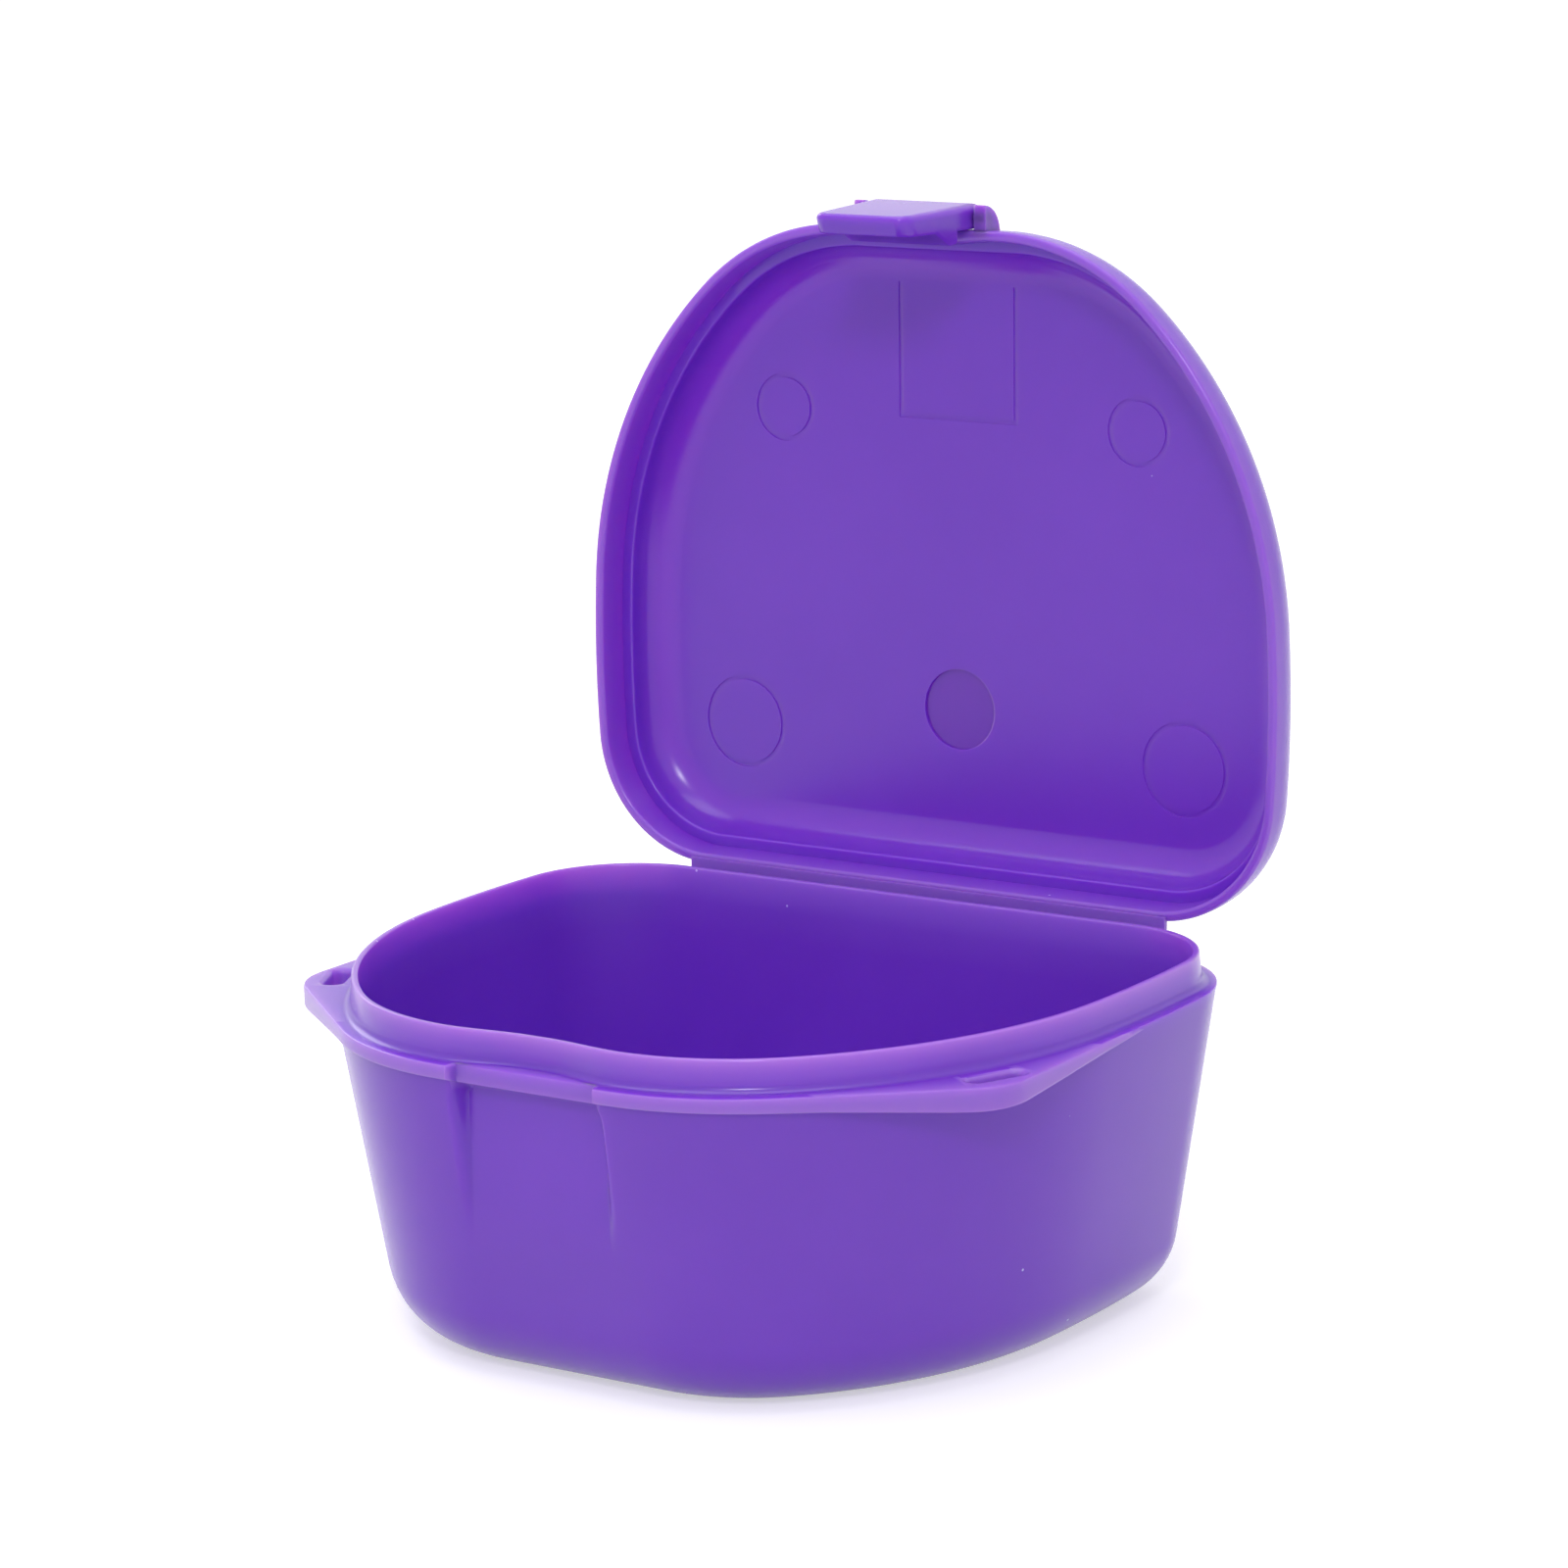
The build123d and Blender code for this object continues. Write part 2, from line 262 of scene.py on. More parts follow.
def mouldedPolypropylene(name, values):
    # Injection moulded polypropylene: milky and satin, with a painted glow and sheen at thin edges: a
    # lighter colour mixed in, not light.
    material = bpy.data.materials.new(name)
    material.use_nodes = True
    tree = material.node_tree
    shader = tree.nodes["Principled BSDF"]
    place = addNode(tree, "ShaderNodeTexCoord")
    cloud = addNode(
        tree, "ShaderNodeTexNoise", {0: place.outputs["Object"]},
        in_2=values["hazeScale"], in_3=values["hazeDetail"],
    )
    color = addNode(tree, "ShaderNodeMix", {0: cloud.outputs[0]}, data_type="RGBA")
    color.inputs[6].default_value = linearColor(values["body"])
    color.inputs[7].default_value = linearColor(values["haze"])
    # painted glow and sheen: the colour is mixed towards the lighter edge colour by the painted share
    paintedGlow = addNode(tree, "ShaderNodeAttribute", attribute_name="paintedGlow")
    glowPaint = addNode(tree, "ShaderNodeMix", {0: paintedGlow.outputs[2], 6: color.outputs[2]}, data_type="RGBA")
    glowPaint.inputs[7].default_value = linearColor(values["edge"])
    cells = addNode(
        tree, "ShaderNodeTexVoronoi", {0: place.outputs["Object"]}, in_2=1 / (values["dustGap"] * mm),
    )
    near = addNode(
        tree, "ShaderNodeMapRange", {0: cells.outputs[0]},
        in_1=values["dustFull"], in_2=values["dustGone"], in_3=1.0, in_4=0.0,
    )
    some = addNode(
        tree, "ShaderNodeMath", {0: cells.outputs[1]}, in_1=values["dustFree"], operation="GREATER_THAN",
    )
    speck = addNode(tree, "ShaderNodeMath", {0: near.outputs[0], 1: some.outputs[0]}, operation="MULTIPLY")
    dusty = addNode(tree, "ShaderNodeMix", {0: speck.outputs[0], 6: glowPaint.outputs[2]}, data_type="RGBA")
    dusty.inputs[7].default_value = linearColor(values["dust"])
    tree.links.new(dusty.outputs[2], shader.inputs["Base Color"])
    grain = addNode(
        tree, "ShaderNodeTexNoise", {0: place.outputs["Object"]}, in_2=1 / (values["grain"] * mm), in_3=2.0,
    )
    rough = addNode(tree, "ShaderNodeMapRange", {0: cloud.outputs[0]})
    rough.inputs[3].default_value = values["smoothest"]
    rough.inputs[4].default_value = values["roughest"]
    tree.links.new(rough.outputs[0], shader.inputs["Roughness"])
    bump = addNode(tree, "ShaderNodeBump", {"Height": grain.outputs[0]})
    bump.inputs["Strength"].default_value = values["grainStrength"]
    bump.inputs["Distance"].default_value = values["grainHeight"] * mm
    tree.links.new(bump.outputs[0], shader.inputs["Normal"])
    shader.inputs["IOR"].default_value = values["refraction"]
    shader.inputs["Subsurface Weight"].default_value = values["scatterWeight"]
    shader.inputs["Subsurface Radius"].default_value = values["scatterRadius"]
    shader.inputs["Subsurface Scale"].default_value = values["scatter"]
    return material


# painted shade: the gate mark is drawn darker, standing in for the weaker sheen of its glossier dimple; its
# roughness is the same as the rest
gatePlastic = dict(plastic, body="6428B4", haze="682CB8")
# painted glow: the web is drawn in a lighter body colour than the same plastic elsewhere
webPlastic = dict(plastic, body="9A68DC", scatter=0.0007)
purple = mouldedPolypropylene("polypropylene moulded purple", plastic)
gatePurple = mouldedPolypropylene("polypropylene gate mark painted darker", gatePlastic)
webPurple = mouldedPolypropylene("polypropylene bending web painted lighter", webPlastic)
print("stage: materials made")

# tub: one sweep for floor, wall, flange, collar and cavity, with the latch seat pressed into its front

tub = dict(
    floorEnd=-13.0,  # the flat floor inside this line is closed by one face
    floor=1.4,
    footRadius=7.6,
    wallOutset=0.2,
    wallDraft=9.2,
    wallRows=(13.0, 15.0, 17.0, 19.0, 21.0, 23.0, 25.0, 26.2, 27.2, 27.9, 28.35, 28.7),
    flangeTop=31.3,
    edgeRadius=0.32,
    collarInset=1.2,
    collarDraft=4.4,
    collarTop=34.4,
    collarTip=0.6,
    tipRadius=0.22,
    collarRow=33.1,  # where the milky band of the collar's tip fades out
    rootDeeper=0.9,  # the collar's foot steps back more than its tip
    rootRadius=1.0,
    cavityDraft=7.2,
    cavityRadius=6.2,
    cavityRows=(31.0, 28.0, 25.0, 22.0),  # where the step back fades out
)
flange = dict(
    lip=1.45, ear=2.5, lipAt=61.0, earAt=46.65, endAt=19.0, least=0.3, blur=3.3,
    earX=33.3, earForward=44.9, earRadius=7.0, lipReach=0.5,
)
stepBack = dict(depth=0.75, flat=1.0, end=9.5)  # the collar's middle, behind the latch
roomStep = dict(depth=1.7, flat=6.0, end=12.0)  # the room steps back more, so the pocket keeps its wall
seat = dict(
    half=8.0, notch=0.6, barBottom=29.45, pocket=2.3, corner=1.5,
    edgeBelow=0.2,  # how far below the bar the flange's rows count as lying
    gap=0.05,  # between the flange's rounded edge and the pocket's first row
    notchBlend=0.24,  # half the width over which the flange steps back
    rampOut=0.8, rampIn=0.25, rampPower=1.8,  # the pocket's sides: round outside, crisp inside
)
cordSlot = dict(
    length=5.9, width=1.9, angle=65.0, reach=4.05, setback=1.0,
    flare=0.55, flareSteps=6,  # dished at the top
    below=6.0, above=3.0,  # the cutter's reach past the flange
)
glowPaint = dict(  # share of painted glow and sheen on the tub by place, from 0 to 1
    collar=0.12, tip=0.75, tipInside=0.4, edge=0.9, bar=0.6,
    tipFrom=32.3, tipOver=1.9,  # heights over which the tip's band fades in
    outerFace=1.75, innerFace=2.0,  # depths inside the outline that part the collar's faces
)


def roundedEdge(reach, low, high, r):  # (out, height) rows round an edge with two rounded corners
    cut = 0.3 * r
    return [
        (reach - r, low), (reach - cut, low + cut), (reach, low + r),
        (reach, high - r), (reach - cut, high - cut), (reach - r, high),
    ]


def flangeThickness(y, f):  # deep at the ears, shallow at the lip, gone towards the hinge
    def plain(back):
        if back >= f["lipAt"]:
            return f["lip"]
        if back >= f["earAt"]:
            share = (back - f["earAt"]) / (f["lipAt"] - f["earAt"])
            return f["ear"] + (f["lip"] - f["ear"]) * share
        return f["ear"] * max(0.0, (back - f["endAt"]) / (f["earAt"] - f["endAt"]))
    blurred = [plain(rearY - y + f["blur"] * (i / 4 - 1)) for i in range(9)]
    return max(f["least"], sum(blurred) / 9)


def circlePoints(x, y, radius, count=96):
    turns = [math.tau * i / count for i in range(count)]
    return [Vector((x + radius * math.cos(a), y + radius * math.sin(a))) for a in turns]


def flangeLine(f, outset):  # plan of the flange: drawn tight round the wall, the ears and the lip
    points = []
    lipRadius = outline["frontRadius"]
    for side in (1, -1):
        for leg in legs[1:5]:
            for i in range(leg["steps"] + 1):
                a = leg["start"] + (leg["end"] - leg["start"]) * i / leg["steps"]
                p = leg["centre"] + Vector((math.sin(a), math.cos(a), 0)) * (leg["radius"] + outset)
                points.append(Vector((p.x * side, p.y)))
        points += circlePoints(f["earX"] * side, rearY - f["earForward"], f["earRadius"])
        lipX = outline["frontFlat"] * side
        points += circlePoints(lipX, frontY + lipRadius, lipRadius + f["lipReach"], 240)
    hull = [points[i] for i in geometry.convex_hull_2d(points)]
    return list(zip(hull, hull[1:] + hull[:1]))


def reachTo(line, start, away):  # how far a plan line lies from a point, along a direction
    start, far = start.to_2d(), (start + away * 30).to_2d()
    hits = [geometry.intersect_line_line_2d(start, far, a, b) for a, b in line]
    return min([(hit - start).length for hit in hits if hit is not None], default=0.0)


def smoothShare(value):
    value = min(1.0, max(0.0, value))
    return value * value * (3 - 2 * value)


def stepDepth(x, y, s):
    if y > 0:
        return 0.0
    return s["depth"] * (1 - smoothShare((abs(x) - s["flat"]) / (s["end"] - s["flat"])))


def pressSeat(co, part, top, radius, s):  # moves a front point of the wall or flange into the latch seat
    x = abs(co.x)
    if co.y > 0 or x > s["half"] + s["rampOut"]:
        return
    below = s["barBottom"] - co.z if part == "wall" else s["edgeBelow"]
    rise = s["corner"] - max(0.0, s["corner"] - below)
    shrink = s["corner"] - math.sqrt(max(0.0, s["corner"] ** 2 - (s["corner"] - rise) ** 2))
    share = (s["half"] - shrink + s["rampOut"] - x) / (s["rampOut"] + s["rampIn"])
    pressed = min(1.0, max(0.0, share)) ** s["rampPower"]
    if part == "wall":
        co.y += max(0.0, frontY + s["pocket"] - co.y) * pressed
        return
    face = frontY + s["notch"]
    back = face + radius + s["gap"]
    rows = [(-back - (frontY + s["pocket"] - back) * pressed, s["barBottom"])]
    rows += roundedEdge(-face, s["barBottom"], top, radius)
    out, z = rows[part]
    share = smoothShare((s["half"] + s["notchBlend"] - x) / (2 * s["notchBlend"]))
    co.y += (-out - co.y) * share
    co.z += (z - co.z) * share


def stadiumTool(place, turn, length, width, levels):  # levels: (extra radius, height) pairs
    bm = bmesh.new()
    rings = []
    for extra, height in levels:
        radius = width / 2 + extra
        made = bmesh.ops.create_circle(bm, segments=48, radius=radius)["verts"]
        bmesh.ops.rotate(bm, verts=made, matrix=Matrix.Rotation(math.pi / 48, 3, "Z"))
        for v in made:
            v.co.x += math.copysign((length - width) / 2, v.co.x)
            v.co.z = height
        rings.append({e for v in made for e in v.link_edges})
    for low, high in zip(rings, rings[1:]):
        bmesh.ops.bridge_loops(bm, edges=list(low | high))
    closeEnds(bm)
    bmesh.ops.rotate(bm, verts=bm.verts[:], matrix=Matrix.Rotation(turn, 3, "Z"))
    bmesh.ops.translate(bm, verts=bm.verts[:], vec=place)
    return makeObject("tool", bm)


def cordSlotTool(c, f, side, top):
    turn = math.radians(c["angle"])
    along = Vector((math.cos(turn), math.sin(turn), 0))
    outward = Vector((along.y, -along.x, 0))
    place = outward * c["reach"] + along * c["setback"]
    place += Vector((f["earX"], rearY - f["earForward"], 0))
    place.x *= side
    flare = c["flare"]
    levels = [(0, top - c["below"]), (0, top - flare)]
    for i in range(1, c["flareSteps"]):
        a = math.pi / 2 * i / c["flareSteps"]
        levels.append((flare * (1 - math.cos(a)), top - flare + flare * math.sin(a)))
    levels += [(flare, top), (flare, top + c["above"])]
    return stadiumTool(place, turn * side, c["length"], c["width"], levels)


def makeTub(t, f, material):
    top = t["flangeTop"]
    tip = -t["collarInset"] - (t["collarTop"] - top) * slope(t["collarDraft"])
    inner = tip - t["collarTip"]

    def wall(z):
        return t["wallOutset"] - (top - z) * slope(t["wallDraft"])

    def cavity(z):
        return inner - (t["collarTop"] - z) * slope(t["cavityDraft"])

    profile = [(t["floorEnd"], 0.0), (wall(0.0), 0.0)]
    profile += [(wall(z), z) for z in t["wallRows"]]
    firstWall, firstFlange = 3, len(profile) + 1
    profile += [(0.1 + 0.01 * i, top - f["lip"] + 0.2 * i) for i in range(7)]  # laid out below
    collar = len(profile) + 1
    collarRow = -t["collarInset"] - (t["collarRow"] - top) * slope(t["collarDraft"])
    profile += [(-t["collarInset"], top), (collarRow, t["collarRow"])]
    profile += [(tip, t["collarTop"]), (inner, t["collarTop"])]
    profile += [(cavity(z), z) for z in t["cavityRows"]]
    lastRing = len(profile) + 1
    profile += [(cavity(t["floor"]), t["floor"]), (t["floorEnd"], t["floor"])]
    bm, ring = sweepOutline(profile)
    line = flangeLine(f, t["wallOutset"])
    for v in bm.verts:
        number = v[ring]
        out, away = outlineAt(v.co.x, v.co.y)
        edge = v.co - away * out
        if firstWall <= number < firstFlange:
            pressSeat(v.co, "wall", top, t["edgeRadius"], seat)
        if firstFlange <= number < collar:
            thick = flangeThickness(edge.y, f)
            wallOut = wall(top - thick)
            reach = reachTo(line, edge, away)
            r = min(t["edgeRadius"], (reach - wallOut) / 2, thick / 3)
            low = top - thick
            out, z = ([(wallOut, low)] + roundedEdge(reach, low, top, r))[number - firstFlange]
            v.co = edge + away * out
            v.co.z = z
            pressSeat(v.co, number - firstFlange, top, t["edgeRadius"], seat)
        step = stepDepth(v.co.x, v.co.y, stepBack)
        if collar <= number <= collar + 3:
            v.co.y += step * (1 + t["rootDeeper"] * max(0, collar + 2 - number) / 2)
        if collar + 3 < number < lastRing:
            v.co.y += max(0.0, out - inner + stepDepth(v.co.x, v.co.y, roomStep))
    for number, radius, segments in (
        (2, t["footRadius"], 14), (collar, t["rootRadius"], 6), (collar + 2, t["tipRadius"], 3),
        (collar + 3, t["tipRadius"], 3), (lastRing, t["cavityRadius"], 12),
    ):
        roundRing(bm, ring, profile, number, radius, segments)
    closeEnds(bm)
    piece = makeObject("tub", bm, material)
    for side in (1, -1):
        cutOut(piece, cordSlotTool(cordSlot, f, side, top))

    # painted glow and sheen: the collar's tip, the flange's edge and the latch bar are drawn lighter, the
    # collar's inside less than its outside
    def thinAt(p):
        out = outlineAt(p.x, p.y)[0]
        insideTop = p.z > t["cavityRows"][0] - 0.1 and out < -glowPaint["innerFace"]
        if p.z > top + 0.02 or insideTop:
            outerFace = out > -glowPaint["outerFace"] - stepDepth(p.x, p.y, stepBack)
            band = glowPaint["tip"] if outerFace else glowPaint["tipInside"]
            return glowPaint["collar"] + band * smoothShare((p.z - glowPaint["tipFrom"]) / glowPaint["tipOver"])
        if p.z > top - f["ear"] - 0.05 and out > wall(p.z) + 0.12:
            return glowPaint["edge"]
        if p.z > seat["barBottom"] - 0.02 and p.y < 0 and abs(p.x) < seat["half"] + 0.2:
            return glowPaint["bar"]
        return 0.0

    paintGlow(piece, thinAt)
    return piece


tubPiece = makeTub(tub, flange, purple)
print("stage: tub made,", len(tubPiece.data.polygons), "faces")

# lid: swept as it stands when closed, then swung open

lid = dict(
    rim=31.4, height=8.6, draft=1.5, topRadius=7.4, panel=1.4, end=-13.0,
    skirt=1.0, socket=3.3, socketDraft=4.4, ledge=1.2, ledgeRadius=0.2, ceilingRadius=3.6,
    rimRadius=0.35,
    rimGlow=0.5, glowOver=3.0,  # painted glow along the rim, and the height over which that fades
)
marks = dict(
    rings=((20.7, 46.8, 3.45), (26.0, 13.8, 4.8)),  # from the middle, from the rear, and radius
    ringLine=0.45, ringDepth=0.15,
    insertHalf=6.9, insertRear=46.6, insertFront=6.2,  # seam round a block of the mould
    insertLine=0.4, insertDepth=0.12,
    gateRadius=4.1, gateRear=17.4, gateDepth=0.3,
    below=1.0,  # the cutters start this far under the panel
)
frontPad = dict(depth=0.6, flat=1.0, end=8.5)  # the skirt is thicker behind the latch
hinge = dict(y=rearY + 1.98, z=32.04, angle=91.2)
lugs = dict(
    inner=6.25, thick=1.35, radius=2.85, root=0.4, rootDepth=0.55, base=0.28, arcSteps=14,
    hole=0.61, holeDepth=1.0, soft=0.25,
)
pivot = dict(y=frontY - 1.15, z=lid["rim"] + 1.05)


def swungOpen(piece):  # from the closed pose to the one in the photograph
    centre = Vector((0, hinge["y"], hinge["z"])) * mm
    turn = Matrix.Rotation(math.radians(-hinge["angle"]), 4, "X")
    piece.data.transform(Matrix.Translation(centre) @ turn @ Matrix.Translation(-centre))
    return piece


def discTool(x, y, low, high, radius, line=0.0, axis="Z"):  # a disc, or a ring if it has a line width
    bm = bmesh.new()
    hole = radius - line if line else 0.0
    section = ((hole, low), (radius, low), (radius, high), (hole, high))
    corners = [bm.verts.new((r, 0, z)) for r, z in section]
    sides = [bm.edges.new(pair) for pair in zip(corners, corners[1:] + corners[:1])]
    geom = corners + (sides if line else sides[:3])
    bmesh.ops.spin(bm, geom=geom, cent=(0, 0, 0), axis=(0, 0, 1), angle=math.tau, steps=64, use_merge=True)
    bmesh.ops.remove_doubles(bm, verts=bm.verts[:], dist=tiny)
    bmesh.ops.recalc_face_normals(bm, faces=bm.faces[:])
    if axis == "X":
        bmesh.ops.rotate(bm, verts=bm.verts[:], matrix=Matrix.Rotation(math.pi / 2, 3, "Y"))
    bmesh.ops.translate(bm, verts=bm.verts[:], vec=(x, y, 0) if axis == "Z" else (0, x, y))
    return makeObject("tool", bm)


def makeLid(v, material, gateMaterial):
    rim, ceiling = v["rim"], v["rim"] + v["height"] - v["panel"]
    top = rim + v["height"]
    shelf = rim + v["socket"]
    socketOut = -v["skirt"] - v["socket"] * slope(v["socketDraft"])
    roomOut = socketOut - v["ledge"]
    ceilingOut = roomOut - (ceiling - shelf) * slope(v["draft"])
    profile = [
        (v["end"], top),
        (-v["height"] * slope(v["draft"]), top),
        (0.0, rim),
        (-v["skirt"], rim),
        (socketOut, shelf),
        (roomOut, shelf),
        (ceilingOut, ceiling),
        (v["end"], ceiling),
    ]
    bm, ring = sweepOutline(profile)
    for p in bm.verts:
        if p[ring] in (4, 5):
            p.co.y += stepDepth(p.co.x, p.co.y, frontPad)
    for number, radius, segments in (
        (2, v["topRadius"], 14), (3, v["rimRadius"], 4), (4, v["rimRadius"], 4), (6, v["ledgeRadius"], 3),
        (7, v["ceilingRadius"], 8),
    ):
        roundRing(bm, ring, profile, number, radius, segments)
    closeEnds(bm)
    piece = makeObject("lid", bm, material)
    low = ceiling - marks["below"]
    for side in (1, -1):
        for x, rear, radius in marks["rings"]:
            high = ceiling + marks["ringDepth"]
            tool = discTool(x * side, rearY - rear, low, high, radius, marks["ringLine"])
            cutOut(piece, tool)
    gateFace = Vector((0, rearY - marks["gateRear"], ceiling + marks["gateDepth"]))
    cutOut(piece, discTool(0, gateFace.y, low, gateFace.z, marks["gateRadius"]))
    half, line = marks["insertHalf"], marks["insertLine"]
    near, far = frontY + marks["insertFront"], rearY - marks["insertRear"]
    grooves = (
        (-half, line - half, near, far),
        (half - line, half, near, far),
        (-half, half, far - line, far),
    )
    for left, right, front, back in grooves:
        tool = boxTool((left, front, low), (right, back, ceiling + marks["insertDepth"]))
        cutOut(piece, tool)
    for side in (1, -1):
        joinInto(piece, makeLug(side, rim, lugs))
    piece.data.materials.append(gateMaterial)
    # the gate's faces take the darker painted-shade material
    for face in piece.data.polygons:
        away = face.center / mm - gateFace
        if away.length < marks["gateRadius"] and away.z > -0.02:
            face.material_index = 1
    # painted glow along the lid's rim, fading upwards
    paintGlow(piece, lambda p: v["rimGlow"] * (1 - smoothShare((p.z - rim) / v["glowOver"])))
    return swungOpen(piece)


def makeLug(side, rim, g):
    reach, back = g["radius"], frontY + g["rootDepth"]
    last = math.acos((g["root"] - g["rootDepth"]) / reach)
    turns = [last * i / g["arcSteps"] for i in range(g["arcSteps"] + 1)]
    low = rim + g["base"]
    points = [(frontY + g["root"] - reach * math.cos(a), low + reach * math.sin(a)) for a in turns]
    points.append((back, low))
    bm = bmesh.new()
    face = bm.faces.new([bm.verts.new((g["inner"], y, z)) for y, z in points])
    grown = bmesh.ops.extrude_face_region(bm, geom=[face])["geom"]
    moved = [p for p in grown if isinstance(p, bmesh.types.BMVert)]
    bmesh.ops.translate(bm, verts=moved, vec=(g["thick"], 0, 0))
    bmesh.ops.recalc_face_normals(bm, faces=bm.faces[:])

    def roundSide(a, b):  # the two arcs, not the root
        return abs(a.x - b.x) < 0.01 < abs(a.z - b.z) and max(a.y, b.y) < back - 0.01

    bevelSharp(bm, roundSide, g["soft"], 4)
    lug = makeObject("lug", bm)
    hole = discTool(pivot["y"], pivot["z"], g["inner"] - 1, g["inner"] + g["holeDepth"], g["hole"], axis="X")
    cutOut(lug, hole)
    if side < 0:
        lug.data.transform(Matrix.Scale(-1, 4, (1, 0, 0)))
        lug.data.flip_normals()
    return lug


lidPiece = makeLid(lid, purple, gatePurple)
print("stage: lid made,", len(lidPiece.data.polygons), "faces")

# latch: side view carried across, tapered towards its tip, then its edges rounded

latch = dict(
    width=12.2, tipWidth=10.8, tipCorner=1.5, length=11.1, thickness=2.5, tipThinner=0.45, tipRise=0.9,
    swing=110.0, skinGap=0.06, pivotOut=1.15, heelSteps=10,
    toothReach=1.3, toothHeight=1.2, toothRamp=2.3, hookAt=29.3,
    outerSoft=0.75, soft=0.3,
    trunnion=0.55, trunnionLength=1.1,
    skinGlow=0.85, glowLoss=1.2, glowDepth=0.7,  # painted glow and sheen on the latch, most at the outer face
)


def makeLatch(v, material):
    rim = lid["rim"]
    heel = v["pivotOut"] - v["skinGap"]
    inner = pivot["y"] + heel
    outer = inner - v["thickness"]
    tip = rim - v["length"]
    swing = math.radians(v["swing"])
    steps = [swing * i / v["heelSteps"] for i in range(v["heelSteps"] + 1)]
    points = [(pivot["y"] + heel * math.cos(a), pivot["z"] + heel * math.sin(a)) for a in steps]
    shoulder = points[-1]
    points += [
        (outer, shoulder[1] - (shoulder[0] - outer) * slope(v["swing"] - 90)),
        (outer + v["tipThinner"], tip),
        (inner, tip + v["tipRise"]),
        (inner, v["hookAt"] - v["toothHeight"] - v["toothRamp"]),
        (inner + v["toothReach"], v["hookAt"] - v["toothHeight"]),
        (inner + v["toothReach"], v["hookAt"]),
        (inner, v["hookAt"]),
    ]
    bm = bmesh.new()
    face = bm.faces.new([bm.verts.new((-v["width"] / 2, y, z)) for y, z in points])
    grown = bmesh.ops.extrude_face_region(bm, geom=[face])["geom"]
    moved = [p for p in grown if isinstance(p, bmesh.types.BMVert)]
    bmesh.ops.translate(bm, verts=moved, vec=(v["width"], 0, 0))
    bmesh.ops.recalc_face_normals(bm, faces=bm.faces[:])
    for p in bm.verts:
        p.co.x *= 1 - (1 - v["tipWidth"] / v["width"]) * max(0.0, rim - p.co.z) / v["length"]

    def tipSide(a, b):
        return max(a.z, b.z) < tip + v["tipRise"] + 0.1 and abs(a.x - b.x) < 1

    def outerFace(a, b):
        return max(a.y, b.y) < outer + v["tipThinner"] + 0.01

    def innerFace(a, b):
        return min(a.y, b.y) > inner - 0.6 and min(a.z, b.z) < pivot["z"] + 3

    bevelSharp(bm, tipSide, v["tipCorner"], 7)
    bevelSharp(bm, outerFace, v["outerSoft"], 6)
    bevelSharp(bm, innerFace, v["soft"], 3, 40)
    bmesh.ops.remove_doubles(bm, verts=bm.verts[:], dist=0.002)
    closeEnds(bm)
    piece = makeObject("latch", bm, material)
    reach = v["width"] / 2 + v["trunnionLength"]
    joinInto(piece, discTool(pivot["y"], pivot["z"], -reach, reach, v["trunnion"], axis="X"))
    # painted glow and sheen, strongest on the outer face and less deeper in
    paintGlow(piece, lambda p: v["skinGlow"] - v["glowLoss"] * min(v["glowDepth"], max(0.0, p.y - outer)))
    return swungOpen(piece)


latchPiece = makeLatch(latch, purple)
print("stage: latch made,", len(latchPiece.data.polygons), "faces")

# bending web between tub and lid

# the web's last value is its share of painted glow
web = dict(width=56.0, thickness=0.5, overrun=0.6, steps=14, paintedGlow=0.8)


def makeWeb(v, material):
    centre = Vector((0, hinge["y"], hinge["z"]))
    turn = Matrix.Rotation(math.radians(-hinge["angle"]), 3, "X")
    rimPoint = centre + turn @ (Vector((0, rearY, lid["rim"])) - centre)
    up = turn @ Vector((0, 0, 1))
    intoLid = turn @ Vector((0, -1, 0))
    root = Vector((0, rearY + tub["wallOutset"], tub["flangeTop"]))
    half = v["thickness"] / 2
    reachY, reachZ = rimPoint.y - root.y + half, rimPoint.z - root.z + half
    path = [root + Vector((0, -v["overrun"], -half))]
    for i in range(v["steps"] + 1):
        a = math.pi / 2 * i / v["steps"]
        path.append(Vector((0, root.y + reachY * math.sin(a), rimPoint.z - reachZ * math.cos(a))))
    path.append(rimPoint + up * half + intoLid * v["overrun"])
    bm = bmesh.new()
    chain = [bm.verts.new(p - Vector((v["width"] / 2, 0, 0))) for p in path]
    edges = [bm.edges.new(pair) for pair in zip(chain, chain[1:])]
    grown = bmesh.ops.extrude_edge_only(bm, edges=edges)["geom"]
    moved = [p for p in grown if isinstance(p, bmesh.types.BMVert)]
    bmesh.ops.translate(bm, verts=moved, vec=(v["width"], 0, 0))
    bmesh.ops.recalc_face_normals(bm, faces=bm.faces[:])
    bmesh.ops.solidify(bm, geom=bm.faces[:], thickness=v["thickness"])
    bmesh.ops.recalc_face_normals(bm, faces=bm.faces[:])
    piece = makeObject("web", bm, material)
    paintGlow(piece, lambda p: v["paintedGlow"])
    return piece, path[1] * mm, path[-2] * mm


webPiece, webStart, webEnd = makeWeb(web, webPurple)
print("stage: web made,", len(webPiece.data.polygons), "faces")

for piece in (tubPiece, lidPiece, latchPiece, webPiece):
    smoothPiece(piece)
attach(tubPiece, "tub")
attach(lidPiece, "lid")
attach(latchPiece, "clasp")
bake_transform(webPiece)
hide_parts("base_tub")
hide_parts("lid_shell")
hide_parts("latch")
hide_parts("hinge_strap")

# camera, fitted to the photograph

view = dict(
    azimuth=34.023, elevation=12.236, roll=-1.372,
    position=(278.51, -435.50, 157.72),  # mm, from the middle of the lid's rear
    sensor=36, lens=5421.1 / 1600 * 36,  # focal length in pixels of a 1600 wide picture, made mm
)


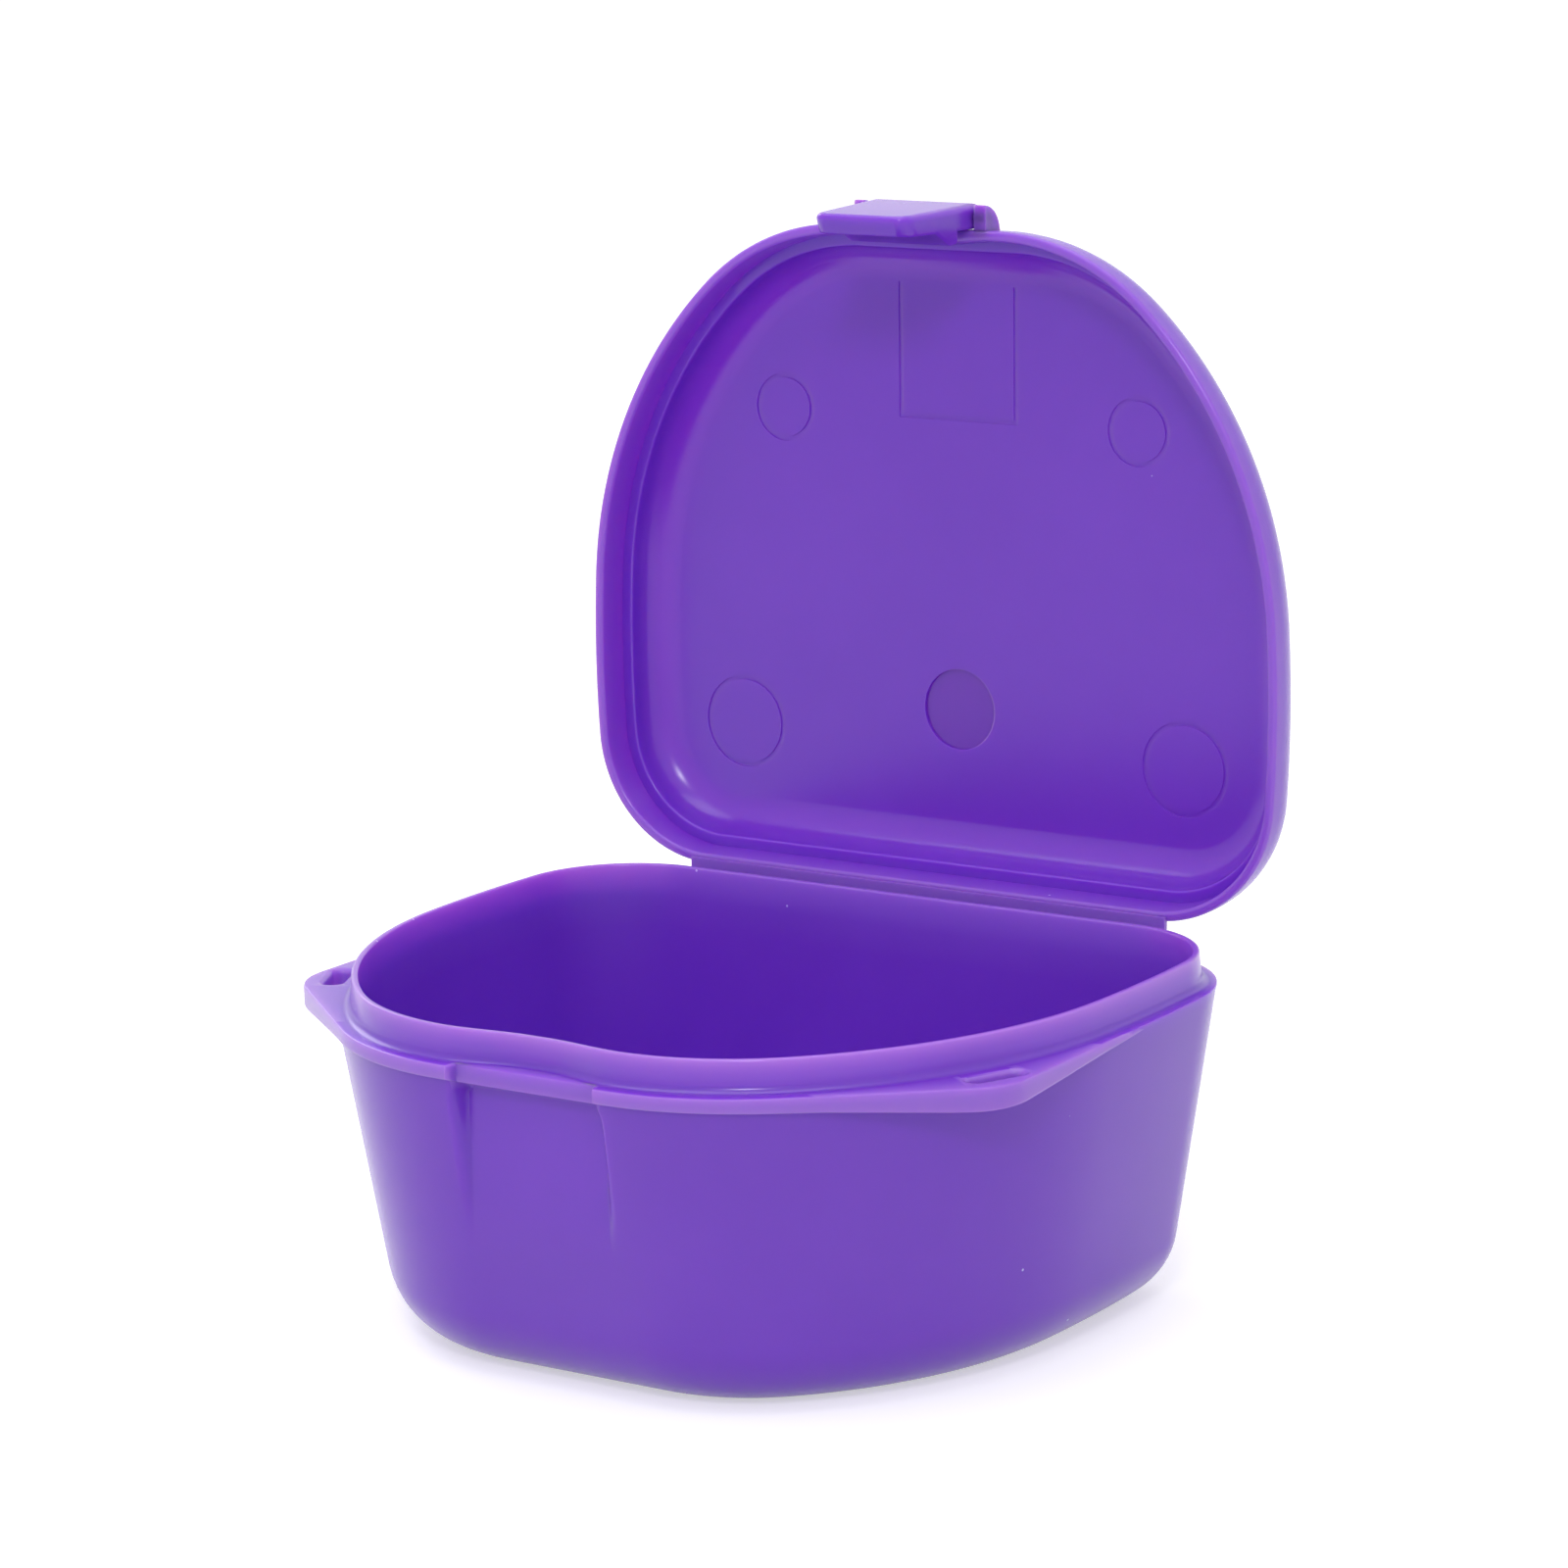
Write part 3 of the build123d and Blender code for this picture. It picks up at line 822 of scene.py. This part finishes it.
def makeCamera(v):
    a, e, r = (math.radians(v[k]) for k in ("azimuth", "elevation", "roll"))
    back = Vector((math.sin(a) * math.cos(e), -math.cos(a) * math.cos(e), math.sin(e)))
    right = Vector((math.cos(a), math.sin(a), 0))
    up = back.cross(right)
    rolledRight = right * math.cos(r) + up * math.sin(r)
    rolledUp = up * math.cos(r) - right * math.sin(r)
    data = bpy.data.cameras.new("camera")
    data.sensor_width = v["sensor"]
    data.sensor_fit = "HORIZONTAL"
    data.lens = v["lens"]
    data.clip_start = 0.01
    data.clip_end = 20
    camera = bpy.data.objects.new("camera", data)
    turn = Matrix((rolledRight, rolledUp, back)).transposed().to_4x4()
    place = (Vector(v["position"]) + Vector((0, rearY, 0))) * mm
    camera.matrix_world = Matrix.Translation(place) @ turn
    bpy.context.scene.collection.objects.link(camera)
    bpy.context.scene.camera = camera


makeCamera(view)

# studio: white floor and backdrop, soft lights above, in front and at the left

studio = dict(
    floorSize=6.0, floorColor="D8D8D8",
    floorLift=0.52,  # the glow that makes the floor white where it is seen, also in reflections
    ambient=0.69,  # what the backdrop gives as light; it is seen as white
    aim=(0, 0.01, 0.045),
)
softboxes = dict(  # place and size in metres, power in watts
    above=dict(place=(-0.1, -0.1, 1.2), size=1.0, power=5.6),
    front=dict(place=(0.46, -0.80, 0.74), size=0.18, power=2.7),
    left=dict(place=(-0.8, 0.35, 0.45), size=0.4, power=1.2),
)


def rayShare(tree):  # 1 for what the camera, a reflection or a transmitted ray sees
    path = addNode(tree, "ShaderNodeLightPath")
    seen = addNode(tree, "ShaderNodeMath", {0: path.outputs[0], 1: path.outputs[3]}, operation="MAXIMUM")
    return addNode(tree, "ShaderNodeMath", {0: seen.outputs[0], 1: path.outputs[6]}, operation="MAXIMUM")


def makeStudio(s):
    bm = bmesh.new()
    bmesh.ops.create_grid(bm, x_segments=1, y_segments=1, size=s["floorSize"] / 2)
    mesh = bpy.data.meshes.new("floor")
    bm.to_mesh(mesh)
    bm.free()
    floor = bpy.data.objects.new("floor", mesh)
    bpy.context.scene.collection.objects.link(floor)
    material = bpy.data.materials.new("white paper sweep")
    material.use_nodes = True
    tree = material.node_tree
    shader = tree.nodes["Principled BSDF"]
    shader.inputs["Base Color"].default_value = linearColor(s["floorColor"])
    shader.inputs["Roughness"].default_value = 0.9
    shader.inputs["Emission Color"].default_value = (1, 1, 1, 1)
    seen = rayShare(tree).outputs[0]
    lift = addNode(tree, "ShaderNodeMath", {0: seen}, in_1=s["floorLift"], operation="MULTIPLY")
    tree.links.new(lift.outputs[0], shader.inputs["Emission Strength"])
    mesh.materials.append(material)
    world = bpy.data.worlds.new("studio")
    bpy.context.scene.world = world
    world.use_nodes = True
    tree = world.node_tree
    back = tree.nodes["Background"]
    back.inputs["Color"].default_value = (1, 1, 1, 1)
    level = addNode(tree, "ShaderNodeMapRange", {0: rayShare(tree).outputs[0]}, in_3=s["ambient"], in_4=1.0)
    tree.links.new(level.outputs[0], back.inputs["Strength"])


def makeSoftbox(name, s):
    data = bpy.data.lights.new(name, "AREA")
    data.size = s["size"]
    data.energy = s["power"]
    lamp = bpy.data.objects.new(name, data)
    place = Vector(s["place"])
    aim = Vector(studio["aim"]) - place
    lamp.matrix_world = Matrix.Translation(place) @ aim.to_track_quat("-Z", "Y").to_matrix().to_4x4()
    bpy.context.scene.collection.objects.link(lamp)


for name, values in softboxes.items():
    makeSoftbox(name, values)
makeStudio(studio)
bpy.context.scene.view_settings.view_transform = "Standard"
